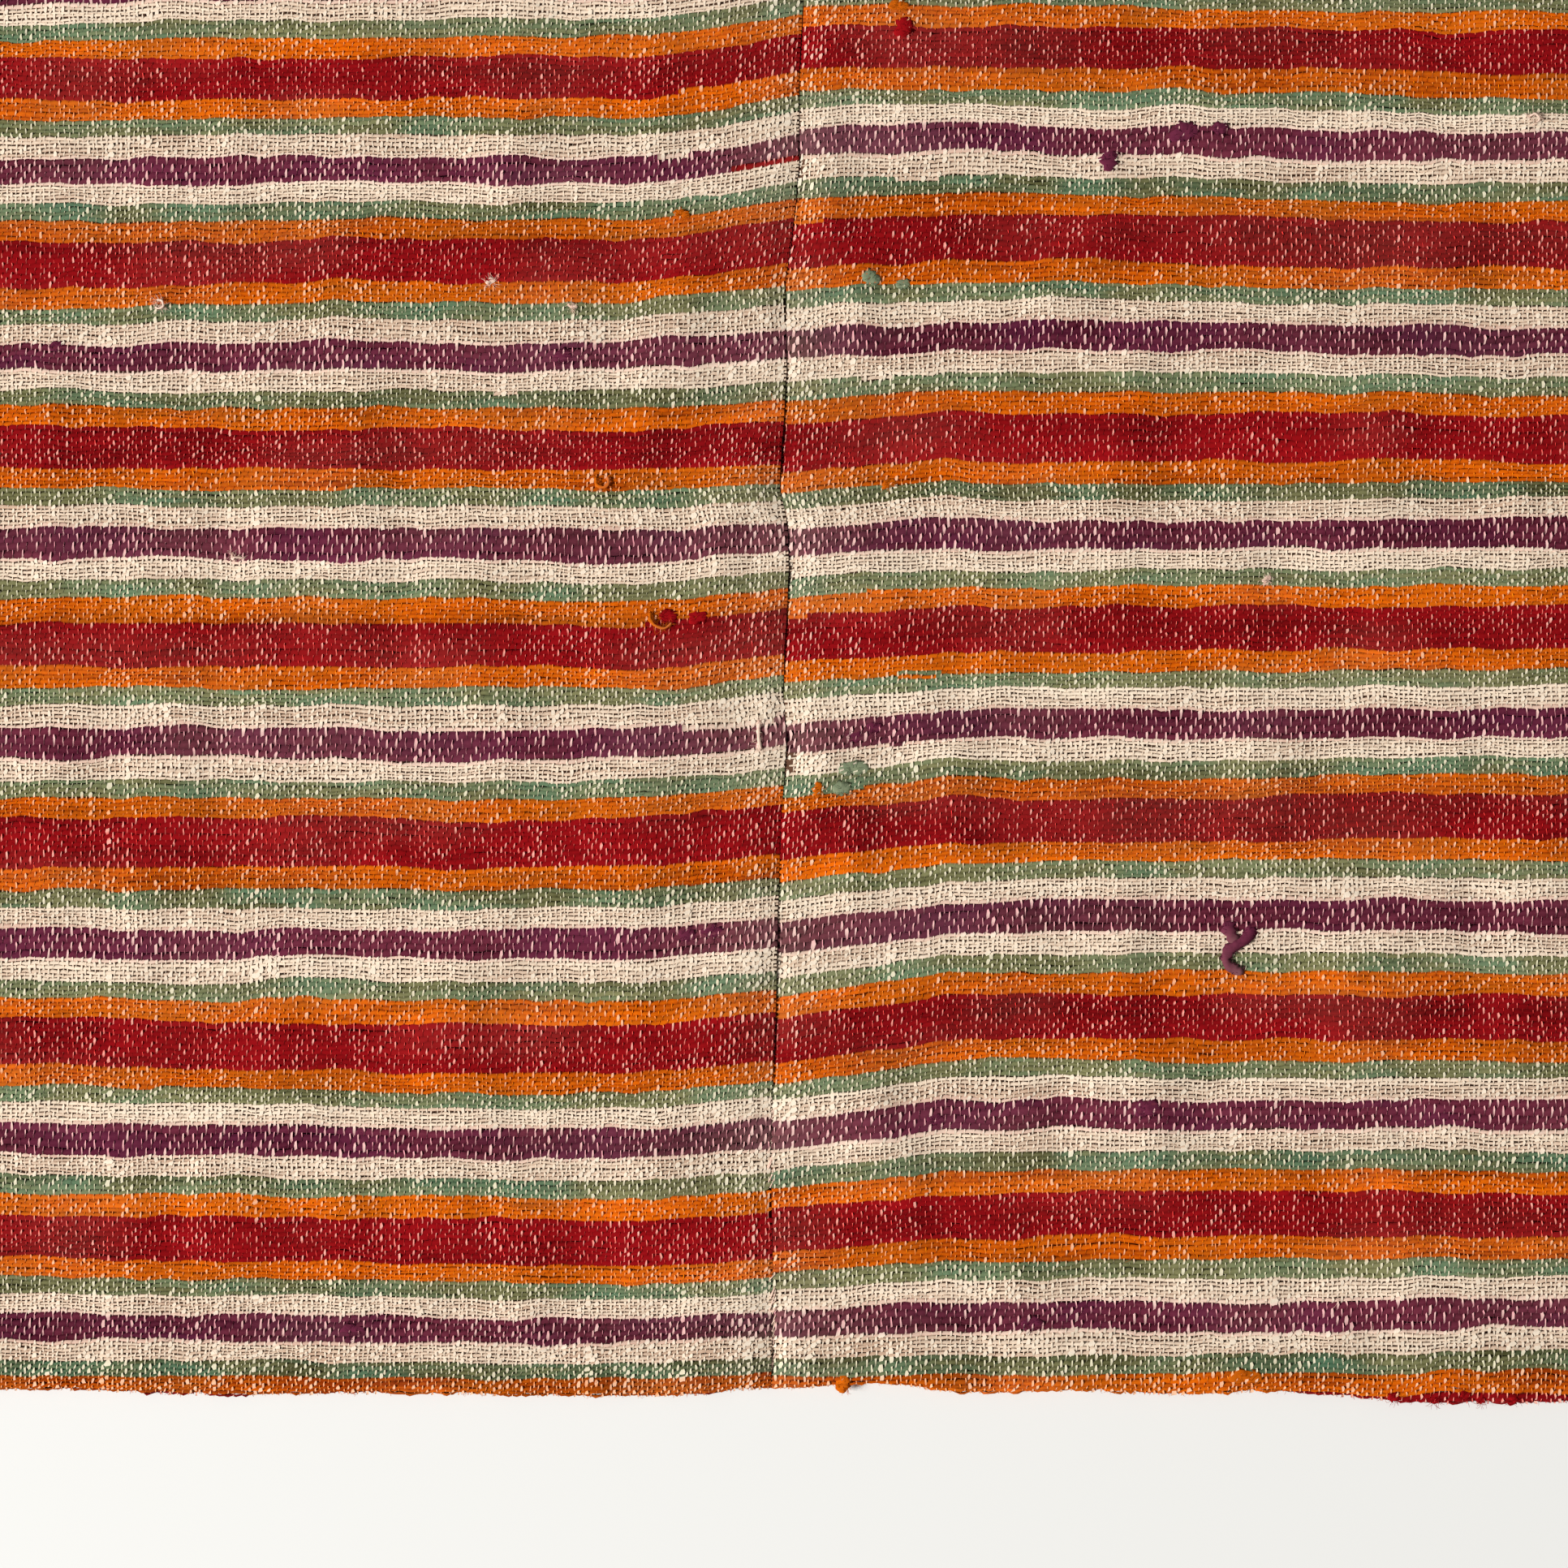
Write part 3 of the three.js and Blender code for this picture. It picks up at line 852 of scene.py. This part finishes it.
def ground_sheet(weave):
    """The body of the cloth under its floats, closed all round, with the hem's fold."""
    panel = weave.panel
    columns = np.unique(np.concatenate([np.arange(0, weave.ends.size, 6), [weave.ends.size - 1]]))
    inside = np.flatnonzero(weave.y.max(axis=1) < panel.top - 1.0)
    rows = inside[weave.along[inside].min(axis=1) > 0.4]
    rows = np.concatenate([rows[:1], rows])
    x, y = weave.x[rows][:, columns], weave.y[rows][:, columns]
    y[0] = panel.top - 0.02
    x[0] = weave.end_x(weave.ends[columns], y[0])
    # The ground reaches almost to the middle of the seam, so its painted shade darkens the groove
    x[:, 0] = panel.seam(y[:, 0]) - panel.side * (SEAM_GAP / 2 - GROUND_GAP)
    x[:, -1] = panel.outer
    along = panel.along_of(x, y)
    tuck = GROUND_RISE * (1 - smoothstep(y - panel.hem(x), *HEM_TUCK))
    points = np.concatenate([panel.place(x, along, GROUND_RISE), panel.place(x, -along, tuck)[::-1]])
    loops, across = points.shape[:2]
    index = np.arange(loops * across).reshape(loops, across)
    following = np.roll(index, -1, axis=0)
    skin = np.stack([index[:, :-1], following[:, :-1], following[:, 1:], index[:, 1:]], axis=-1)
    skin = skin.reshape(-1, 4)
    half = loops // 2
    paired = index[::-1]
    caps = []
    for column, turned in ((0, False), (across - 1, True)):
        cap = np.stack([index[:half - 1, column], paired[:half - 1, column], paired[1:half, column],
                        index[1:half, column]], axis=-1)
        caps.append(cap[:, ::-1] if turned else cap)
    faces = np.concatenate([skin, *caps])
    if panel.side < 0:
        faces = faces[:, ::-1]
    yarns = weave.yarn[rows][:, columns]
    # The ground's face is painted with the shade of the hollows between the yarns; its back has the yarn's
    # own colour
    top = yarn_colours(yarns, "hollow")
    back = (yarn_colours(yarns, "deep") + yarn_colours(yarns, "bright")) / 2
    stripe = np.concatenate([top, back[::-1]]).reshape(-1, 4)
    is_back = np.concatenate([np.zeros(yarns.shape), np.ones(yarns.shape)]).ravel()
    end = np.concatenate([np.broadcast_to(columns, yarns.shape)] * 2).ravel() * math.pi
    pick = np.broadcast_to(weave.pick_number[rows], yarns.shape)
    pick = np.concatenate([pick, pick[::-1]]).ravel() * math.pi
    attributes = [("back", is_back), ("end", end), ("pick", pick)]
    return make_mesh(f"ground_{panel.name}", points.reshape(-1, 3), faces, GROUND_WOOL, attributes,
                     colours=[("stripe", stripe)])


# Faces that close the end of a thread, by the number of points round it
CAPS = {4: [[0, 1, 2, 3]], 8: [[0, 1, 2, 3], [0, 3, 4, 7], [4, 5, 6, 7]]}


def tube(path, radii, squash=1.0, ring=8):
    """Points and faces of a round thread along a path, closed at both ends."""
    tangent = np.gradient(path, axis=0)
    tangent /= np.linalg.norm(tangent, axis=1, keepdims=True)
    sideways = np.cross(tangent, (0, 0, 1))
    sideways /= np.maximum(np.linalg.norm(sideways, axis=1, keepdims=True), 1e-6)
    upwards = np.cross(sideways, tangent)
    angles = np.arange(ring) / ring * 2 * math.pi
    around = (np.cos(angles)[None, :, None] * sideways[:, None, :]
              + squash * np.sin(angles)[None, :, None] * upwards[:, None, :])
    points = path[:, None, :] + radii.reshape(len(path), -1, 1) * around
    index = np.arange(len(path) * ring).reshape(-1, ring)
    turned = np.roll(index, -1, axis=1)
    skin = np.stack([index[:-1], index[1:], turned[1:], turned[:-1]], axis=-1).reshape(-1, 4)
    cap = np.array(CAPS[ring])
    return points.reshape(-1, 3), np.concatenate([skin, cap, index[-1][cap][:, ::-1]])


def smooth_path(points, steps=5):
    """A smooth line through a few points."""
    points = np.array(points, dtype=float)
    ends = np.concatenate([[2 * points[0] - points[1]], points, [2 * points[-1] - points[-2]]])
    share = np.linspace(0, 1, steps, endpoint=False)[:, None]
    spans = []
    for a, b, c, d in zip(ends[:-3], ends[1:-2], ends[2:-1], ends[3:]):
        bend = 2 * a - 5 * b + 4 * c - d + share * (3 * (b - c) + d - a)
        spans.append(b + 0.5 * share * (c - a + share * bend))
    return np.concatenate([*spans, points[-1:]])


def lumps(share, phase, ring=8):
    """Uneven thickness along and around a thread."""
    along = share[:, None]
    angle = np.arange(ring)[None, :] / ring * 2 * math.pi
    return 1 + 0.2 * np.sin(2 * angle + phase + 6 * along) + 0.17 * np.sin(3 * angle - 9 * along + 2 * phase)


class Threads:
    """Collects the small threads, knots and fibres of one panel and joins those of one yarn."""

    def __init__(self, weave):
        self.weave = weave
        self.rng = weave.rng
        self.made = {}

    def add(self, yarn, path, radii, squash=1.0, ring=8, shade=0.6, wear=0.0):
        points, faces = tube(path, radii, squash, ring)
        shade, wear = (np.repeat(np.broadcast_to(values, len(path)), ring) for values in (shade, wear))
        self.made.setdefault(yarn, []).append((points, faces, shade, wear))

    def felted(self, radii, share, phase):
        """Radii of a thick soft thread: uneven and rough all round."""
        rough = self.rng.uniform(*FELT_ROUGH, (len(share), 8))
        return radii[:, None] * lumps(share, phase) * rough

    def fibre(self, yarn, x, y, rise, heading, length):
        """One fine curved fibre that starts at a point and comes back to the cloth."""
        rng = self.rng
        share = np.linspace(0, 1, 6)
        way = heading + rng.uniform(-FIBRE_BEND, FIBRE_BEND) * share
        step = length / 5
        path_x = x + np.concatenate([[0], np.cumsum(np.cos(way[:-1]))]) * step
        path_y = y + np.concatenate([[0], np.cumsum(np.sin(way[:-1]))]) * step
        arch = rng.uniform(*FIBRE_ARCH) * np.sin(math.pi * share)
        path = self.weave.panel.on_face(path_x, path_y, rise + arch)
        self.add(yarn, path, FIBRE_THICK / 2 * rng.uniform(*FIBRE_UNEVEN) * (1.05 - 0.6 * share), ring=4,
                 shade=rng.uniform(*FIBRE_SHADE))

    def fuzz(self, yarn, x, y, spread_out, count):
        """Fibres that stand out round a knot or a thread."""
        rng = self.rng
        for _ in range(count):
            heading = rng.uniform(0, 2 * math.pi)
            away = spread_out * rng.uniform(0.3, 1.0)
            self.fibre(yarn, x + away * math.cos(heading), y + away * math.sin(heading), 0.3,
                       heading + rng.uniform(-1.2, 1.2), rng.uniform(*FUZZ_LENGTH))

    def slub(self, slub):
        """A thick place of a pick: a soft flat lump that lies half sunk in the cloth, near its own yarn."""
        share = np.linspace(-1, 1, 13)
        turn = math.radians(slub.turn)
        bow = 0.12 * slub.long * (1 - share ** 2)
        to_pick = self.weave.pick_near(slub.yarn, slub.x, slub.y) - slub.y
        middle = slub.y + np.clip(to_pick, -SLUB_SHIFT, SLUB_SHIFT)
        x = slub.x + 0.5 * slub.long * share * math.cos(turn) - bow * math.sin(turn)
        y = middle + 0.5 * slub.long * share * math.sin(turn) + bow * math.cos(turn)
        radii = self.felted(0.5 * slub.thick * (1.01 - np.abs(share) ** 2.4) ** 0.5, share, slub.x)
        self.add(slub.yarn, self.weave.panel.on_face(x, y, SLUB_RISE), radii, squash=SLUB_SQUASH, shade=0.75,
                 wear=SLUB_WEAR.get(slub.yarn, 0.0))
        self.fuzz(slub.yarn, slub.x, middle, 0.5 * slub.thick, SLUB_FIBRES)

    def thread(self, thread):
        line = smooth_path(thread.points)
        share = np.linspace(0, 1, len(line))
        radii = 0.5 * (thread.start + (thread.end - thread.start) * share)
        radii = radii * np.sqrt(np.clip((1 - np.abs(2 * share - 1)) * 9 + 0.1, 0, 1))
        self.add(thread.yarn, self.weave.panel.on_face(line[:, 0], line[:, 1], line[:, 2]),
                 self.felted(radii, share * 3, line[0, 0]), squash=THREAD_SQUASH, shade=0.75 + 0.4 * share,
                 wear=THREAD_WEAR * share ** 2)
        for x, y, _ in line[::2]:
            self.fuzz(thread.yarn, x, y, 0.45 * thread.start, THREAD_FIBRES)

    def hem_fuzz(self):
        """Fibres that stand out past the hem's fold, in the yarn that lies there."""
        weave, rng = self.weave, self.rng
        panel = weave.panel
        for x in rng.uniform(min(0, panel.outer), max(0, panel.outer), HEM_FIBRES):
            column = np.argmin(np.abs(weave.x[-1] - x))
            row = np.argmin(np.abs(weave.along[:, column] - rng.uniform(0, 2)))
            yarn = YARN_NAMES[weave.yarn[row, column]]
            heading = -math.pi / 2 + rng.uniform(-1.3, 1.3)
            self.fibre(yarn, x, float(panel.hem(x)) + 0.4, -0.2, heading, rng.uniform(*HEM_FIBRE_LENGTH))

    def loose_fibres(self):
        """Fibres that lie about on the face, in the yarn they come from."""
        weave, rng = self.weave, self.rng
        picks, ends = weave.x.shape
        for _ in range(LOOSE_FIBRES):
            row, column = rng.integers(picks), rng.integers(ends)
            if weave.along[row, column] > 3 and weave.y[row, column] < weave.panel.top - 3:
                yarn = YARN_NAMES[weave.yarn[row, column]]
                self.fibre(yarn, weave.x[row, column], weave.y[row, column], 0.15,
                           rng.uniform(0, 2 * math.pi), rng.uniform(*LOOSE_FIBRE_LENGTH))

    def pieces(self):
        made = []
        for yarn, tubes in self.made.items():
            points, faces, shade, wear = zip(*tubes)
            starts = np.cumsum([0] + [len(each) for each in points[:-1]])
            faces = np.concatenate([each + start for each, start in zip(faces, starts)])
            points, shade, wear = (np.concatenate(each) for each in (points, shade, wear))
            shade = shade + self.rng.uniform(-0.25, 0.25, len(points))
            attributes = [("shade", shade), ("wear", wear), ("drift", np.full(len(points), KNOT_DRIFT))]
            name = f"knots_{yarn}_{self.weave.panel.name}"
            made.append(make_mesh(name, points, faces, WEFT_WOOL[yarn], attributes))
        return made


def seam_stitches(threads):
    """Whip stitches across the seam: sunk in the groove at first, and out on the face near the hem."""
    panel, rng = threads.weave.panel, threads.weave.rng
    sunk, lifted = STITCH_RISE
    for y in np.arange(-panel.top + STITCH_FROM_HEM, STITCH_TOP, STITCH_STEP):
        y = y + rng.uniform(-STITCH_STEP, STITCH_STEP)
        if threads.weave.yarn_at_seam(y) not in STITCH_STRIPES:
            continue
        out = float(smoothstep(-y, -STITCH_TOP, -STITCH_TOP + STITCH_EASE))
        reach = STITCH_REACH * rng.uniform(0.6, 1.2)
        share = np.linspace(-1, 1, 9)
        x = panel.seam(y) + share * reach + rng.uniform(-0.2, 0.2)
        lean = STITCH_LEAN * rng.uniform(0.3, 1.2)
        rise = sunk + lifted * out - STITCH_BOW * share ** 2
        path = panel.on_face(x, y + lean * share, rise)
        threads.add("cream", path, np.full(9, STITCH_THICK / 2), shade=rng.uniform(0.3, 0.8))


def build_panel(name, side, seed):
    panel = Panel(name, side, seed)
    weave = Weave(panel, seed)
    threads = Threads(weave)
    for slub in SLUBS:
        if slub.x * side > 0:
            threads.slub(slub)
    for thread in THREADS:
        if thread.points[0][0] * side > 0:
            threads.thread(thread)
    threads.hem_fuzz()
    threads.loose_fibres()
    if name == "right":
        seam_stitches(threads)
    yarns = [*weft_pieces(weave), warp_piece(weave), *threads.pieces()]
    ground = ground_sheet(weave)
    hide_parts(panel.node)


def stage():
    """A pale floor, one large soft light from the left and pale light all round."""
    bpy.ops.mesh.primitive_plane_add(size=FLOOR_SIZE, location=(0, 0, -FLOOR_DROP * MM))
    floor = bpy.context.object
    floor.name = "floor"
    shader = Shader("pale_floor", roughness=0.95, specular=0.1)
    shader.surface.inputs["Base Color"].default_value = linear(FLOOR_COLOUR)
    floor.data.materials.append(shader.material)
    world = bpy.data.worlds.new("studio")
    bpy.context.scene.world = world
    world.use_nodes = True
    background = world.node_tree.nodes["Background"]
    background.inputs["Color"].default_value = (1.0, 1.0, 1.0, 1.0)
    background.inputs["Strength"].default_value = WORLD_LIGHT
    light = bpy.data.lights.new("key", "AREA")
    light.shape = "DISK"
    light.size = KEY_SIZE
    light.energy = KEY_LIGHT
    key = bpy.data.objects.new("key", light)
    key.location = KEY_PLACE
    key.rotation_euler = (-key.location).to_track_quat("-Z", "Y").to_euler()
    bpy.context.collection.objects.link(key)


def camera():
    """Straight above the cloth, as the photograph looks at it."""
    data = bpy.data.cameras.new("camera")
    data.lens = LENS
    data.sensor_width = SENSOR
    seen = bpy.data.objects.new("camera", data)
    seen.location = (0, VIEW_MIDDLE_Y * MM, VIEW_WIDTH * MM * LENS / SENSOR + CLOTH * MM)
    bpy.context.collection.objects.link(seen)
    bpy.context.scene.camera = seen
    bpy.context.scene.view_settings.view_transform = "Standard"


build_panel("left", -1, seed=11)
build_panel("right", 1, seed=23)
stage()
camera()
